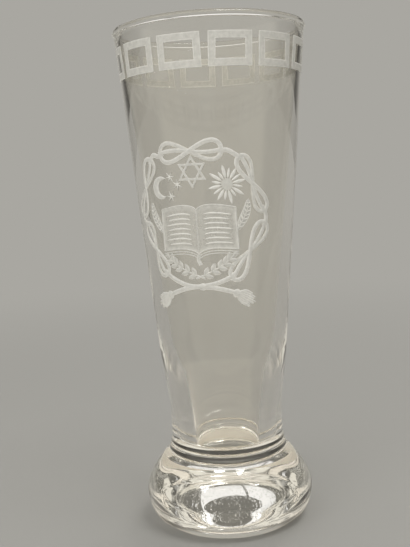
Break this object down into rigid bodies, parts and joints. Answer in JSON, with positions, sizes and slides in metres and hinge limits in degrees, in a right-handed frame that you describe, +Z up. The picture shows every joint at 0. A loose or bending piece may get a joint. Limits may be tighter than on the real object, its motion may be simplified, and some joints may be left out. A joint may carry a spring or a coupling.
{
  "type": "engraved drinking glass",
  "caption": "Tall flared drinking glass of clear glass on a solid bulging foot with a short stem collar, a thick tapering wall and matt wheel-engraved ornament.",
  "frame": {"origin": "centre of the foot's underside, where the glass stands", "axes": "+Z runs up the axis of the glass to its rim, -Y faces the engraved medallion on the front, +X is to its right"},
  "size_m": [0.069, 0.069, 0.18],
  "materials": {
    "foot_glass": "clear, fire polished, ground rest and polished pontil hollow",
    "collar_glass": "clear, fire polished",
    "bowl_glass": "clear, fire polished, with matt wheel-engraved ornament outside"
  },
  "bodies": {
    "root": {"foot": "foot_glass", "collar": "collar_glass", "bowl": "bowl_glass"}
  },
  "joints": []
}
